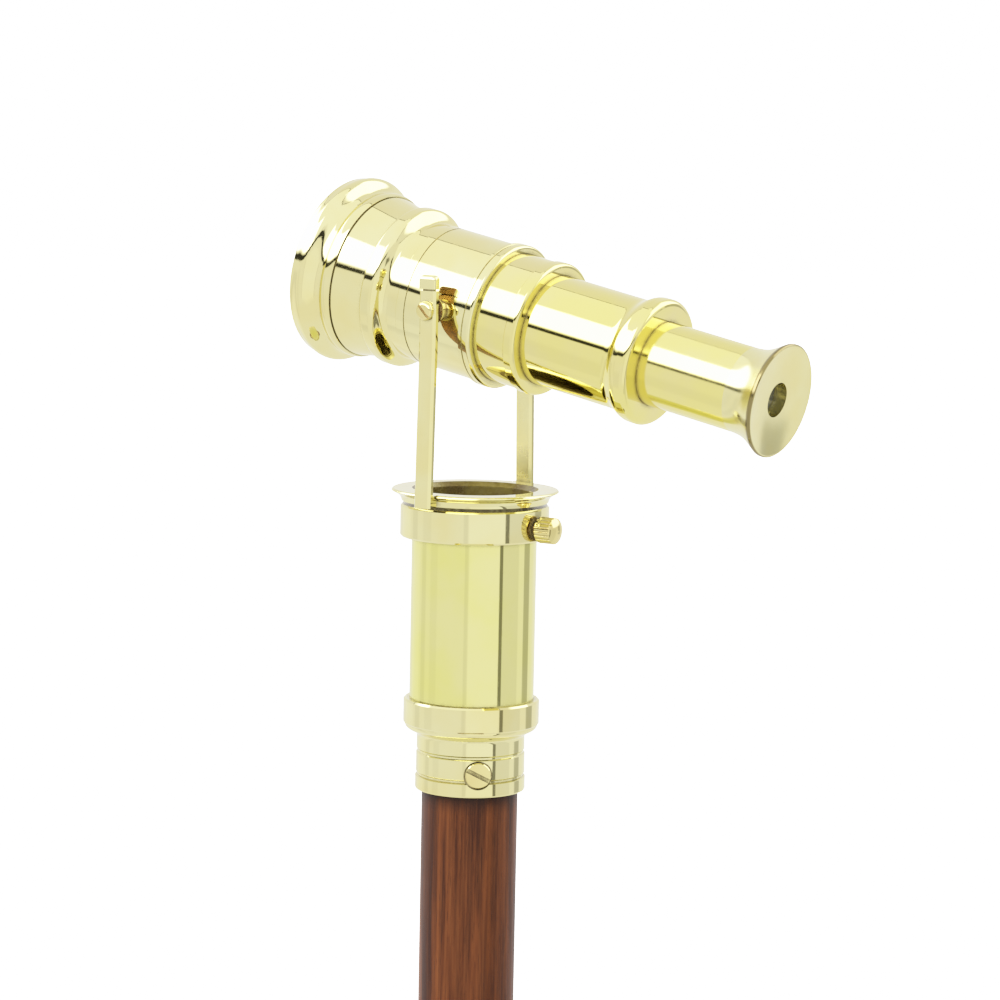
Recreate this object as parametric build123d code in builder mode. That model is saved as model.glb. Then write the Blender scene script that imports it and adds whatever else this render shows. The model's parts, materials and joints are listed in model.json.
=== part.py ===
"""Brass telescope on a swivelling yoke, mounted on the top section of a take-apart walking stick.

Millimetres, +Z up the stick. The origin is the centre of the lower joint's mouth. The telescope lies in
the XZ plane with its eyepiece towards +X, its objective towards -X, and its left side towards -Y.
"""

import os
from math import asin, cos, radians, sin

from build123d import *

os.makedirs("parts", exist_ok=True)

# ---------------------------------------------------------------- driving dimensions
RIM_Z = 241.0  # top of the flared yoke ring
PIVOT_RISE = 41.2  # telescope pivot above that rim
TILT = 11.6  # eyepiece below horizontal at rest, in degrees

RUNNING = 0.05  # radial clearance of every sliding or turning fit
GAP = 0.2  # space left between flat faces that move past each other
WALL = 0.6  # wall of the draw tubes

SHAFT_R = 11.05
SOCKET_R = 12.5
TUBE_R = 14.29
TUBE_WALL = 0.8
SLEEVE_WALL = 0.5
COLLAR_R = 17.0

BARREL_R = 16.0
BARREL_BORE = 15.3
DRAW_R = (14.85, 12.6, 9.5)  # outer radii of draw 1, draw 2 and the eyepiece tube

PIN_R = 1.5
BOSS_R = 2.4
ARM_WIDTH = 4.4
ARM_THICK = 2.0

# ---------------------------------------------------------------- derived places
PIVOT_Z = RIM_Z + PIVOT_RISE
ALONG = (cos(radians(TILT)), 0, -sin(radians(TILT)))
SECTION = Plane(origin=(0, 0, PIVOT_Z), x_dir=ALONG, z_dir=(0, -1, 0))  # local (station, radius)
ACROSS = Plane(origin=(0, 0, PIVOT_Z), x_dir=(0, 1, 0), z_dir=ALONG)  # square to the optical axis
OPTICAL_AXIS = Axis((0, 0, PIVOT_Z), ALONG)

SLEEVE_R = TUBE_R - TUBE_WALL - RUNNING
RING_DEPTH = 2.8  # height of the flared ring
COLLAR_TOP = RIM_Z - 3.6
COLLAR_BOTTOM = RIM_Z - 11.0
BAND_TOP = RIM_Z - 48.2
BAND_BOTTOM = RIM_Z - 54.0
SOCKET_BOTTOM = RIM_Z - 69.2
SHAFT_TOP = RIM_Z - 56.0


def cap_middle(vertex, rim, radius):
    """The point halfway round a spherical face that runs from the axis, at vertex, to its rim."""
    sag = rim - vertex
    sphere = (sag**2 + radius**2) / (2 * sag)
    half = asin(radius / abs(sphere)) / 2
    return (vertex + sphere * (1 - cos(half)), abs(sphere) * sin(half))


# ---------------------------------------------------------------- stick: wood and lower joint
FERRULE_TOP = 20.0
FERRULE_R = 12.2
FERRULE_BASE = 2.0
INSERT_R = 7.0
INSERT_TOP = 18.0
THREAD_R = 4.25  # tapping size of an M10 thread
THREAD_DEPTH = 15.0

SCREW_AZIMUTH = -47.0  # where the socket screw stands round the stick
SCREW_Z = RIM_Z - 64.1
SCREW_HEAD_R = 2.95
HEAD_CLEARANCE = 0.35  # round the head, in its counterbore
SCREW_SHANK_R = 1.6
SCREW_DEPTH = 9.0  # shank below the head
SCREW_BORE = 3.0  # depth of each cut for it through the socket's wall
HEAD_SEAT = 11.6  # radius at which the head's flat seat lies
SCREW_PLANE = Plane(
    origin=(0, 0, SCREW_Z),
    x_dir=(sin(radians(-SCREW_AZIMUTH)), cos(radians(SCREW_AZIMUTH)), 0),
    z_dir=(cos(radians(SCREW_AZIMUTH)), sin(radians(SCREW_AZIMUTH)), 0),
)
SCREW_AXIS = Axis(SCREW_PLANE.origin, SCREW_PLANE.z_dir)

# ---------------------------------------------------------------- stick: tube, collar and thumbscrew
THUMB_Z = RIM_Z - 8.0
THUMB_SHANK_R = 1.5
THUMB_NECK_R = 2.0
THUMB_NECK_START = COLLAR_R + 0.3
KNOB_R = 3.0
KNOB_START = 17.9
KNOB_END = 22.9
KNOB_DOME = 1.0
KNOB_RIDGES = 20
KNOB_GROOVE_R = 0.26
KNOB_GROOVE_OUT = 0.08  # how far outside the knob a groove is centred

# ---------------------------------------------------------------- yoke
RIM_R = 19.1
OPENING_R = 14.4
SLEEVE_TOP = RIM_Z - 1.0
SLEEVE_BOTTOM = RIM_Z - 40.0
FOOT_INNER = 17.9  # inner face of the tongue that fills the ring's notch
FOOT_OUTER = 21.3  # outer face of an arm at its foot
ARM_STRAIGHT = PIVOT_Z - 7.0  # above this an arm stands upright
NOTCH_GAP = 0.35  # beside the foot, in the ring's notch
NOTCH_DEPTH = 4.0
ARM_INNER = 18.4  # inner face of an arm at the pivot
ARM_TOP = PIVOT_Z + 4.4
ARM_BEVEL = 0.55
CAP_NECK = 0.4
CAP_HEIGHT = 3.1
CAP_CORNER = 0.8
CAP_ROUND = 1.1  # round of its top edge
WASHER_R = 3.0
BOSS_FACE = 17.9
SCREW_SEAT = ARM_INNER + ARM_THICK + GAP
PIVOT_HEAD_R = 2.1
PIVOT_HEAD_THICK = 1.3
PIVOT_HEAD_ROUND = 0.9
PIVOT_SLOT = 0.6  # width and depth of its slot
PIVOT_SLOT_LEAN = 35.0  # the slot's slope, in degrees

# ---------------------------------------------------------------- telescope stations, from the pivot
LIP_FRONT = -38.3
LIP_FACE_R = 20.4  # where the lip's front edge turns into the mouth
LIP_EDGE_R = 21.0  # just behind the front edge
LIP_R = 21.6
LIP_CREST = -35.2  # widest station of the lip
BEAD_START = -31.0
BEAD_R = 19.3
BEAD_WIDTH = 2.8
GROOVE = 0.3  # width and depth of the fine line on each side of the bead
BELL_WAIST_R = 17.0
BELL_END = -20.2
MOUTH_R = 15.8
CELL_R = 16.1
CELL_FRONT = -32.5
CELL_REAR = -24.0
LENS_R = 15.2
LENS_SEAT = -25.5
CROWN_RIM = CELL_FRONT + 1.0
CROWN_VERTEX = CELL_FRONT + 0.1
CEMENT_RIM = CELL_FRONT + 3.1
CEMENT_VERTEX = CELL_FRONT + 4.2
CEMENT = 0.05  # thickness of the cemented joint between crown and flint

STEP_RING_R = 18.5
STEP_RING_END = -17.6
NECK_START = -14.2
NECK_R = 15.75
BARREL_FRONT = -11.6
BARREL_LINE = -9.3  # a fine line turned round the barrel
BARREL_REAR = 6.3
BUSH_1_START = -3.0
END_RING_1 = 9.4
END_RING_1_R = 16.6

STOP_LENGTH = 3.95
TUBE_STARTS = (-7.0, 9.0, 33.0)  # draw 1, draw 2, eyepiece tube
TUBE_ENDS = (17.6, 42.0, 71.5)
BUSH_2_START = 13.6
END_RING_2 = 20.5
END_RING_2_R = 15.25
BUSH_3_START = 37.0
END_RING_3 = 49.4
END_RING_3_R = 14.25
RING_3_FLARE = 4.6  # length of the flare that leads up to ring 3

CUP_FACE = 80.5
CUP_SPIGOT_START = TUBE_ENDS[2] - 5.5
CUP_R = 12.6
CUP_BORE = 8.2
EYE_HOLE_R = 3.85
EYE_LENS_FACE = 76.4
ERECTOR_START = 34.0
ERECTOR_LENGTH = 18.0
ERECTOR_BORE = 8.4
FIELD_LENS = 61.0
LENS_MIDDLE = 2.6  # thickness of the small lenses at the middle
LENS_EDGE = 1.2  # and at the rim

with BuildPart() as wooden_shaft:
    with BuildSketch(Plane.XY.offset(FERRULE_BASE)):
        Circle(SHAFT_R)
    extrude(amount=SHAFT_TOP - FERRULE_BASE)
    with BuildSketch(Plane.XY.offset(FERRULE_BASE)):
        Circle(INSERT_R)
    extrude(amount=INSERT_TOP - FERRULE_BASE, mode=Mode.SUBTRACT)
    with BuildSketch(SCREW_PLANE.offset(HEAD_SEAT - SCREW_DEPTH)):
        Circle(SCREW_SHANK_R)
    extrude(amount=SCREW_DEPTH, mode=Mode.SUBTRACT)
wooden_shaft.part.label = "wooden_shaft"
export_step(wooden_shaft.part, "parts/wooden_shaft.step")

with BuildPart() as joint_ferrule:
    with BuildSketch(Plane.XZ):
        with BuildLine():
            Polyline(
                (INSERT_R, 0),
                (FERRULE_R - 0.6, 0),
                (FERRULE_R, 0.6),
                (FERRULE_R, FERRULE_TOP - 7.0),
                (FERRULE_R - 0.4, FERRULE_TOP - 6.6),
                (FERRULE_R, FERRULE_TOP - 6.2),
                (FERRULE_R, FERRULE_TOP - 1.6),
                (FERRULE_R + 0.5, FERRULE_TOP - 1.2),
                (FERRULE_R + 0.5, FERRULE_TOP - 0.3),
                (FERRULE_R + 0.2, FERRULE_TOP),
                (SHAFT_R, FERRULE_TOP),
                (SHAFT_R, FERRULE_BASE),
                (INSERT_R, FERRULE_BASE),
                close=True,
            )
        make_face()
    revolve(axis=Axis.Z)
joint_ferrule.part.label = "joint_ferrule"
export_step(joint_ferrule.part, "parts/joint_ferrule.step")

with BuildPart() as joint_insert:
    with BuildSketch():
        Circle(INSERT_R)
    extrude(amount=INSERT_TOP)
    with BuildSketch():
        Circle(THREAD_R)
    extrude(amount=THREAD_DEPTH, mode=Mode.SUBTRACT)
joint_insert.part.label = "joint_insert"
export_step(joint_insert.part, "parts/joint_insert.step")

# ---------------------------------------------------------------- stick: brass socket and tube
SPIGOT_TOP = RIM_Z - 46.0
BAND_R = 15.6
with BuildPart() as shaft_socket:
    with BuildSketch(Plane.XZ):
        with BuildLine():
            Polyline(
                (SHAFT_R, SOCKET_BOTTOM),
                (SOCKET_R, SOCKET_BOTTOM),
                (SOCKET_R + 0.15, SOCKET_BOTTOM + 0.3),
                (SOCKET_R + 0.15, SOCKET_BOTTOM + 3.0),
                (SOCKET_R - 0.35, SOCKET_BOTTOM + 3.3),
                (SOCKET_R - 0.35, SOCKET_BOTTOM + 3.7),
                (SOCKET_R, SOCKET_BOTTOM + 4.0),
                (SOCKET_R, SOCKET_BOTTOM + 8.4),
                (SOCKET_R - 0.35, SOCKET_BOTTOM + 8.7),
                (SOCKET_R - 0.35, SOCKET_BOTTOM + 9.1),
                (SOCKET_R - 0.1, SOCKET_BOTTOM + 9.4),
                (SOCKET_R - 0.1, SOCKET_BOTTOM + 12.2),
            )
            Bezier(
                (SOCKET_R - 0.1, SOCKET_BOTTOM + 12.2),
                (SOCKET_R, SOCKET_BOTTOM + 13.8),
                (BAND_R - 0.5, BAND_BOTTOM - 1.9),
                (BAND_R - 0.3, BAND_BOTTOM),
            )
            Polyline(
                (BAND_R - 0.3, BAND_BOTTOM),
                (TUBE_R - TUBE_WALL, BAND_BOTTOM),
                (TUBE_R - TUBE_WALL, SPIGOT_TOP),
                (0, SPIGOT_TOP),
                (0, SHAFT_TOP),
                (SHAFT_R, SHAFT_TOP),
                (SHAFT_R, SOCKET_BOTTOM),
            )
        make_face()
    revolve(axis=Axis.Z)
    with BuildSketch(SCREW_PLANE.offset(HEAD_SEAT)):
        Circle(SCREW_HEAD_R + HEAD_CLEARANCE)
    extrude(amount=SCREW_BORE, mode=Mode.SUBTRACT)
    with BuildSketch(SCREW_PLANE.offset(SHAFT_R - 1)):
        Circle(SCREW_SHANK_R)
    extrude(amount=SCREW_BORE, mode=Mode.SUBTRACT)
shaft_socket.part.label = "shaft_socket"
export_step(shaft_socket.part, "parts/shaft_socket.step")

HEAD_THICK = 1.15
SLOT_WIDTH = 1.0
SLOT_DEPTH = 0.55
SLOT_LEAN = -27.0  # the slot's slope across the head, in degrees
with BuildPart() as socket_screw:
    with BuildSketch(SCREW_PLANE.offset(HEAD_SEAT)):
        Circle(SCREW_HEAD_R)
    extrude(amount=HEAD_THICK)
    chamfer(socket_screw.edges().sort_by(SCREW_AXIS)[-1], 0.2)
    with BuildSketch(SCREW_PLANE.offset(HEAD_SEAT - SCREW_DEPTH)):
        Circle(SCREW_SHANK_R)
    extrude(amount=SCREW_DEPTH)
    with BuildSketch(SCREW_PLANE.offset(HEAD_SEAT + HEAD_THICK)):
        Rectangle(4 * SCREW_HEAD_R, SLOT_WIDTH, rotation=SLOT_LEAN)
    extrude(amount=-SLOT_DEPTH, mode=Mode.SUBTRACT)
socket_screw.part.label = "socket_screw"
export_step(socket_screw.part, "parts/socket_screw.step")

with BuildPart() as handle_tube:
    with BuildSketch(Plane.XY.offset(BAND_BOTTOM)):
        Circle(TUBE_R)
        Circle(TUBE_R - TUBE_WALL, mode=Mode.SUBTRACT)
    extrude(amount=COLLAR_TOP - BAND_BOTTOM)
    with BuildSketch(Plane.YZ):
        with Locations((0, THUMB_Z)):
            Circle(THUMB_SHANK_R)
    extrude(amount=TUBE_R + 1, mode=Mode.SUBTRACT)
handle_tube.part.label = "handle_tube"
export_step(handle_tube.part, "parts/handle_tube.step")

with BuildPart() as tube_band:
    with BuildSketch(Plane.XZ):
        with BuildLine():
            Polyline(
                (TUBE_R, BAND_BOTTOM),
                (BAND_R - 0.3, BAND_BOTTOM),
                (BAND_R, BAND_BOTTOM + 0.3),
                (BAND_R, BAND_TOP - 0.4),
                (BAND_R - 0.4, BAND_TOP),
                (TUBE_R, BAND_TOP),
                close=True,
            )
        make_face()
    revolve(axis=Axis.Z)
tube_band.part.label = "tube_band"
export_step(tube_band.part, "parts/tube_band.step")

with BuildPart() as clamp_collar:
    with BuildSketch(Plane.XZ):
        with BuildLine():
            Polyline(
                (TUBE_R, COLLAR_BOTTOM),
                (COLLAR_R - 0.4, COLLAR_BOTTOM),
                (COLLAR_R, COLLAR_BOTTOM + 0.4),
                (COLLAR_R, COLLAR_TOP - 0.4),
                (COLLAR_R - 0.4, COLLAR_TOP),
                (TUBE_R, COLLAR_TOP),
                close=True,
            )
        make_face()
    revolve(axis=Axis.Z)
    with BuildSketch(Plane.YZ):
        with Locations((0, THUMB_Z)):
            Circle(THUMB_SHANK_R + RUNNING)
    extrude(amount=COLLAR_R + 1, mode=Mode.SUBTRACT)
clamp_collar.part.label = "clamp_collar"
export_step(clamp_collar.part, "parts/clamp_collar.step")

# ---------------------------------------------------------------- thumbscrew
THUMB_SECTION = Plane(origin=(0, 0, THUMB_Z), x_dir=(1, 0, 0), z_dir=(0, -1, 0))  # local (reach, radius)
THUMB_ACROSS = Plane(origin=(0, 0, THUMB_Z), x_dir=(0, 1, 0), z_dir=(1, 0, 0))
THUMB_AXIS = Axis((0, 0, THUMB_Z), (1, 0, 0))
THUMB_TIP = SLEEVE_R + RUNNING
with BuildPart() as thumbscrew:
    with BuildSketch(THUMB_SECTION):
        with BuildLine():
            Polyline(
                (KNOB_END, 0),
                (THUMB_TIP, 0),
                (THUMB_TIP, THUMB_SHANK_R - 0.3),
                (THUMB_TIP + 0.3, THUMB_SHANK_R),
                (THUMB_NECK_START, THUMB_SHANK_R),
                (THUMB_NECK_START, THUMB_NECK_R),
                (KNOB_START, THUMB_NECK_R),
                (KNOB_START, KNOB_R - 0.3),
                (KNOB_START + 0.3, KNOB_R),
                (KNOB_END - KNOB_DOME, KNOB_R),
            )
            ThreePointArc(
                (KNOB_END - KNOB_DOME, KNOB_R),
                cap_middle(KNOB_END, KNOB_END - KNOB_DOME, KNOB_R),
                (KNOB_END, 0),
            )
        make_face()
    revolve(axis=THUMB_AXIS)
    with BuildSketch(THUMB_ACROSS.offset(KNOB_START)):
        with PolarLocations(KNOB_R + KNOB_GROOVE_OUT, KNOB_RIDGES):
            Circle(KNOB_GROOVE_R)
    extrude(amount=KNOB_END - KNOB_START, mode=Mode.SUBTRACT)
thumbscrew.part.label = "thumbscrew"
export_step(thumbscrew.part, "parts/thumbscrew.step")

# ---------------------------------------------------------------- yoke
with BuildPart() as yoke_ring:
    with BuildSketch(Plane.XZ):
        with BuildLine():
            Polyline(
                (OPENING_R, RIM_Z),
                (SLEEVE_R, SLEEVE_TOP),
                (SLEEVE_R, RIM_Z - RING_DEPTH),
                (COLLAR_R - 0.2, RIM_Z - RING_DEPTH),
            )
            Bezier(
                (COLLAR_R - 0.2, RIM_Z - RING_DEPTH),
                (COLLAR_R + 0.1, RIM_Z - 1.2),
                (RIM_R - 0.9, RIM_Z - 1.1),
                (RIM_R, RIM_Z - 0.5),
            )
            ThreePointArc(
                (RIM_R, RIM_Z - 0.5),
                (RIM_R - 0.15, RIM_Z - 0.15),
                (RIM_R - 0.5, RIM_Z),
            )
            Line((RIM_R - 0.5, RIM_Z), (OPENING_R, RIM_Z))
        make_face()
    revolve(axis=Axis.Z)
    with BuildSketch(Plane.XY.offset(RIM_Z - RING_DEPTH)):
        for side in (-1, 1):
            with Locations((0, side * (FOOT_INNER + NOTCH_DEPTH / 2))):
                Rectangle(ARM_WIDTH + 2 * NOTCH_GAP, NOTCH_DEPTH)
    extrude(amount=RING_DEPTH, mode=Mode.SUBTRACT)
yoke_ring.part.label = "yoke_ring"
export_step(yoke_ring.part, "parts/yoke_ring.step")

with BuildPart() as yoke_sleeve:
    with BuildSketch(Plane.XY.offset(SLEEVE_BOTTOM)):
        Circle(SLEEVE_R)
        Circle(SLEEVE_R - SLEEVE_WALL, mode=Mode.SUBTRACT)
    extrude(amount=SLEEVE_TOP - SLEEVE_BOTTOM)
yoke_sleeve.part.label = "yoke_sleeve"
export_step(yoke_sleeve.part, "parts/yoke_sleeve.step")

for name, side in (("left", -1), ("right", 1)):
    with BuildPart() as yoke_arm:
        with BuildSketch(Plane.YZ):
            with BuildLine():
                Polyline(
                    (side * FOOT_INNER, RIM_Z),
                    (side * FOOT_INNER, RIM_Z - RING_DEPTH),
                    (side * FOOT_OUTER, RIM_Z - RING_DEPTH),
                    (side * (ARM_INNER + ARM_THICK), ARM_STRAIGHT),
                    (side * (ARM_INNER + ARM_THICK), ARM_TOP),
                    (side * ARM_INNER, ARM_TOP),
                    (side * ARM_INNER, ARM_STRAIGHT),
                    (side * (FOOT_OUTER - ARM_THICK), RIM_Z),
                    close=True,
                )
            make_face()
        extrude(amount=ARM_WIDTH / 2, both=True)
        chamfer(yoke_arm.edges().filter_by(Axis.X, reverse=True).filter_by(Axis.Y, reverse=True), ARM_BEVEL)
        with BuildSketch(Plane.XZ):
            with Locations((0, PIVOT_Z)):
                Circle(PIN_R + RUNNING)
        extrude(amount=-side * (FOOT_OUTER + 1), mode=Mode.SUBTRACT)
    yoke_arm.part.label = f"yoke_arm_{name}"
    export_step(yoke_arm.part, f"parts/yoke_arm_{name}.step")

    with BuildPart() as arm_cap:
        with BuildSketch(Plane.XY.offset(ARM_TOP)):
            with Locations((0, side * (ARM_INNER + ARM_THICK / 2))):
                Rectangle(ARM_WIDTH - 1.4, ARM_THICK - 1.2)
        extrude(amount=CAP_NECK)
        with BuildSketch(Plane.XY.offset(ARM_TOP + CAP_NECK)):
            with Locations((0, side * (ARM_INNER + ARM_THICK / 2))):
                RectangleRounded(ARM_WIDTH + 0.2, ARM_THICK + 0.4, CAP_CORNER)
        extrude(amount=CAP_HEIGHT)
        fillet(arm_cap.faces().sort_by(Axis.Z)[-1].edges(), CAP_ROUND)
    arm_cap.part.label = f"arm_cap_{name}"
    export_step(arm_cap.part, f"parts/arm_cap_{name}.step")

# ---------------------------------------------------------------- telescope: objective end
with BuildPart() as objective_bell:
    with BuildSketch(SECTION):
        with BuildLine():
            ThreePointArc(
                (LIP_FRONT, LIP_FACE_R),
                (LIP_FRONT + 0.15, LIP_EDGE_R - 0.2),
                (LIP_FRONT + 0.5, LIP_EDGE_R),
            )
            Bezier(
                (LIP_FRONT + 0.5, LIP_EDGE_R),
                (LIP_FRONT + 1.6, LIP_EDGE_R + 0.1),
                (LIP_CREST - 1.0, LIP_R),
                (LIP_CREST, LIP_R),
            )
            Bezier(
                (LIP_CREST, LIP_R),
                (LIP_CREST + 1.9, LIP_R),
                (LIP_CREST + 1.8, BEAD_R),
                (BEAD_START - GROOVE, BEAD_R - GROOVE),
            )
            Line((BEAD_START - GROOVE, BEAD_R - GROOVE), (BEAD_START, BEAD_R - GROOVE))
            ThreePointArc(
                (BEAD_START, BEAD_R - GROOVE),
                (BEAD_START + BEAD_WIDTH / 2, BEAD_R + 0.1),
                (BEAD_START + BEAD_WIDTH, BEAD_R - GROOVE),
            )
            Polyline(
                (BEAD_START + BEAD_WIDTH, BEAD_R - GROOVE),
                (BEAD_START + BEAD_WIDTH, BEAD_R - 3 * GROOVE),
                (BEAD_START + BEAD_WIDTH + GROOVE, BEAD_R - 3 * GROOVE),
                (BEAD_START + BEAD_WIDTH + GROOVE, BEAD_R - 2 * GROOVE),
                (BELL_END, BELL_WAIST_R),
                (BELL_END, CELL_R),
                (CELL_FRONT, CELL_R),
                (CELL_FRONT, MOUTH_R),
            )
            Bezier(
                (CELL_FRONT, MOUTH_R),
                (CELL_FRONT - 3.4, MOUTH_R + 0.1),
                (LIP_FRONT + 0.6, LIP_FACE_R - 1.9),
                (LIP_FRONT, LIP_FACE_R),
            )
        make_face()
    revolve(axis=OPTICAL_AXIS)
objective_bell.part.label = "objective_bell"
export_step(objective_bell.part, "parts/objective_bell.step")

with BuildPart() as objective_cell:
    with BuildSketch(SECTION):
        with BuildLine():
            Polyline(
                (CELL_FRONT, LENS_R),
                (CELL_FRONT, CELL_R),
                (CELL_REAR, CELL_R),
                (CELL_REAR, LENS_R - 1.0),
                (LENS_SEAT, LENS_R - 1.0),
                (LENS_SEAT, LENS_R),
                close=True,
            )
        make_face()
    revolve(axis=OPTICAL_AXIS)
objective_cell.part.label = "objective_cell"
export_step(objective_cell.part, "parts/objective_cell.step")

with BuildPart() as objective_retainer:
    with BuildSketch(ACROSS.offset(CELL_FRONT)):
        Circle(LENS_R)
        Circle(LENS_R - 1.0, mode=Mode.SUBTRACT)
    extrude(amount=0.8)
objective_retainer.part.label = "objective_retainer"
export_step(objective_retainer.part, "parts/objective_retainer.step")

with BuildPart() as crown_lens:
    with BuildSketch(SECTION):
        with BuildLine():
            ThreePointArc(
                (CROWN_RIM, LENS_R),
                cap_middle(CROWN_VERTEX, CROWN_RIM, LENS_R),
                (CROWN_VERTEX, 0),
            )
            Line((CROWN_VERTEX, 0), (CEMENT_VERTEX, 0))
            ThreePointArc(
                (CEMENT_VERTEX, 0),
                cap_middle(CEMENT_VERTEX, CEMENT_RIM, LENS_R),
                (CEMENT_RIM, LENS_R),
            )
            Line((CEMENT_RIM, LENS_R), (CROWN_RIM, LENS_R))
        make_face()
    revolve(axis=OPTICAL_AXIS)
crown_lens.part.label = "crown_lens"
export_step(crown_lens.part, "parts/crown_lens.step")

FLINT_RIM = CEMENT_RIM + CEMENT
FLINT_VERTEX = CEMENT_VERTEX + CEMENT
with BuildPart() as flint_lens:
    with BuildSketch(SECTION):
        with BuildLine():
            ThreePointArc(
                (FLINT_VERTEX, 0),
                cap_middle(FLINT_VERTEX, FLINT_RIM, LENS_R),
                (FLINT_RIM, LENS_R),
            )
            Polyline(
                (FLINT_RIM, LENS_R),
                (LENS_SEAT, LENS_R),
                (LENS_SEAT, LENS_R - 1.0),
            )
            ThreePointArc(
                (LENS_SEAT, LENS_R - 1.0),
                cap_middle(LENS_SEAT - 0.6, LENS_SEAT, LENS_R - 1.0),
                (LENS_SEAT - 0.6, 0),
            )
            Line((LENS_SEAT - 0.6, 0), (FLINT_VERTEX, 0))
        make_face()
    revolve(axis=OPTICAL_AXIS)
flint_lens.part.label = "flint_lens"
export_step(flint_lens.part, "parts/flint_lens.step")

# ---------------------------------------------------------------- telescope: barrel
with BuildPart() as barrel_shoulder:
    with BuildSketch(SECTION):
        with BuildLine():
            Polyline(
                (CELL_REAR, BARREL_BORE),
                (CELL_REAR, CELL_R),
                (BELL_END, CELL_R),
                (BELL_END, STEP_RING_R - 0.7),
            )
            ThreePointArc(
                (BELL_END, STEP_RING_R - 0.7),
                (BELL_END + 0.25, STEP_RING_R - 0.2),
                (BELL_END + 0.8, STEP_RING_R),
            )
            Line((BELL_END + 0.8, STEP_RING_R), (STEP_RING_END, STEP_RING_R))
            Bezier(
                (STEP_RING_END, STEP_RING_R),
                (STEP_RING_END + 1.5, STEP_RING_R),
                (NECK_START - 1.9, NECK_R),
                (NECK_START, NECK_R),
            )
            Polyline(
                (NECK_START, NECK_R),
                (BARREL_FRONT, NECK_R),
                (BARREL_FRONT, BARREL_BORE),
                (CELL_REAR, BARREL_BORE),
            )
        make_face()
    revolve(axis=OPTICAL_AXIS)
barrel_shoulder.part.label = "barrel_shoulder"
export_step(barrel_shoulder.part, "parts/barrel_shoulder.step")

with BuildPart() as main_barrel:
    with BuildSketch(ACROSS.offset(BARREL_FRONT)):
        Circle(BARREL_R)
    extrude(amount=BARREL_REAR - BARREL_FRONT)
    chamfer(main_barrel.edges().sort_by(OPTICAL_AXIS)[0], 0.2)
    with BuildSketch(ACROSS.offset(BARREL_LINE)):
        Circle(BARREL_R + 1)
        Circle(BARREL_R - GROOVE / 2, mode=Mode.SUBTRACT)
    extrude(amount=GROOVE, mode=Mode.SUBTRACT)
    with BuildSketch(ACROSS.offset(BARREL_FRONT)):
        Circle(BARREL_BORE)
    extrude(amount=BARREL_REAR - BARREL_FRONT, mode=Mode.SUBTRACT)
    with BuildSketch(Plane.XZ):
        with Locations((0, PIVOT_Z)):
            Circle(BOSS_R)
    extrude(amount=BARREL_R + 1, both=True, mode=Mode.SUBTRACT)
main_barrel.part.label = "main_barrel"
export_step(main_barrel.part, "parts/main_barrel.step")

with BuildPart() as barrel_end_ring:
    with BuildSketch(SECTION):
        with BuildLine():
            Polyline(
                (BUSH_1_START, DRAW_R[0] + RUNNING),
                (BUSH_1_START, BARREL_BORE),
                (BARREL_REAR, BARREL_BORE),
                (BARREL_REAR, END_RING_1_R - 0.3),
                (BARREL_REAR + 0.2, END_RING_1_R),
                (BARREL_REAR + 0.9, END_RING_1_R),
                (BARREL_REAR + 1.0, END_RING_1_R - 0.2),
                (BARREL_REAR + 1.2, END_RING_1_R - 0.2),
                (BARREL_REAR + 1.3, END_RING_1_R),
                (END_RING_1 - 0.8, END_RING_1_R),
            )
            ThreePointArc(
                (END_RING_1 - 0.8, END_RING_1_R),
                (END_RING_1 - 0.15, END_RING_1_R - 0.3),
                (END_RING_1, END_RING_1_R - 0.9),
            )
            Polyline(
                (END_RING_1, END_RING_1_R - 0.9),
                (END_RING_1, DRAW_R[0] + RUNNING),
                (BUSH_1_START, DRAW_R[0] + RUNNING),
            )
        make_face()
    revolve(axis=OPTICAL_AXIS)
barrel_end_ring.part.label = "barrel_end_ring"
export_step(barrel_end_ring.part, "parts/barrel_end_ring.step")

for name, side in (("left", -1), ("right", 1)):
    outward = Plane(origin=(0, 0, PIVOT_Z), x_dir=ALONG, z_dir=(0, side, 0))
    with BuildPart() as pivot_boss:
        with BuildSketch(outward.offset(BARREL_BORE + RUNNING)):
            Circle(BOSS_R)
            Circle(PIN_R, mode=Mode.SUBTRACT)
        extrude(amount=BOSS_FACE - BARREL_BORE - RUNNING)
    pivot_boss.part.label = f"pivot_boss_{name}"
    export_step(pivot_boss.part, f"parts/pivot_boss_{name}.step")

    with BuildPart() as pivot_washer:
        with BuildSketch(outward.offset(BOSS_FACE)):
            Circle(WASHER_R)
            Circle(PIN_R, mode=Mode.SUBTRACT)
        extrude(amount=ARM_INNER - GAP - BOSS_FACE)
    pivot_washer.part.label = f"pivot_washer_{name}"
    export_step(pivot_washer.part, f"parts/pivot_washer_{name}.step")

    with BuildPart() as pivot_screw:
        with BuildSketch(outward.offset(BARREL_BORE + RUNNING)):
            Circle(PIN_R)
        extrude(amount=SCREW_SEAT - BARREL_BORE - RUNNING)
        with BuildSketch(outward.offset(SCREW_SEAT)):
            Circle(PIVOT_HEAD_R)
        extrude(amount=PIVOT_HEAD_THICK)
        fillet(pivot_screw.edges().sort_by(Axis((0, 0, PIVOT_Z), (0, side, 0)))[-1], PIVOT_HEAD_ROUND)
        with BuildSketch(outward.offset(SCREW_SEAT + PIVOT_HEAD_THICK)):
            Rectangle(4 * PIVOT_HEAD_R, PIVOT_SLOT, rotation=side * PIVOT_SLOT_LEAN)
        extrude(amount=-PIVOT_SLOT, mode=Mode.SUBTRACT)
    pivot_screw.part.label = f"pivot_screw_{name}"
    export_step(pivot_screw.part, f"parts/pivot_screw_{name}.step")

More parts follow.
